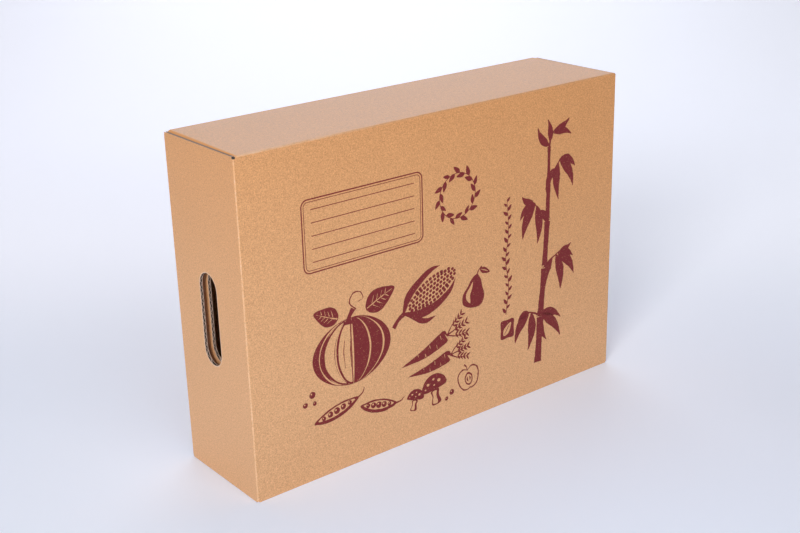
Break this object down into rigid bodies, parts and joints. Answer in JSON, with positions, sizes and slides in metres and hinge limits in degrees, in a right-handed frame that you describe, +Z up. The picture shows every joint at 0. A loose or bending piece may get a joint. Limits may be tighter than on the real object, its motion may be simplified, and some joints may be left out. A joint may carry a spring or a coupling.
{
  "type": "lid and base box",
  "caption": "Corrugated board telescope box: a lid with a printed panel slides over a base, each one folded sheet with a hand slot in both end panels.",
  "frame": {"origin": "middle of the face it stands on, the lid's long wall", "axes": "+Z up, -Y out of the lid's printed main panel, +X along the length"},
  "size_m": [0.45, 0.115, 0.32],
  "materials": {
    "kraft_board": "uncoated brown kraft liner",
    "maroon_ink": "matt flexographic ink"
  },
  "bodies": {
    "base": {"base": "kraft_board"},
    "lid": {"lid": "kraft_board"}
  },
  "joints": [
    {"name": "lid_slide", "type": "slide", "parent": "base", "child": "lid", "axis": [0, -1, 0], "range_m": [0, 0.13]}
  ]
}
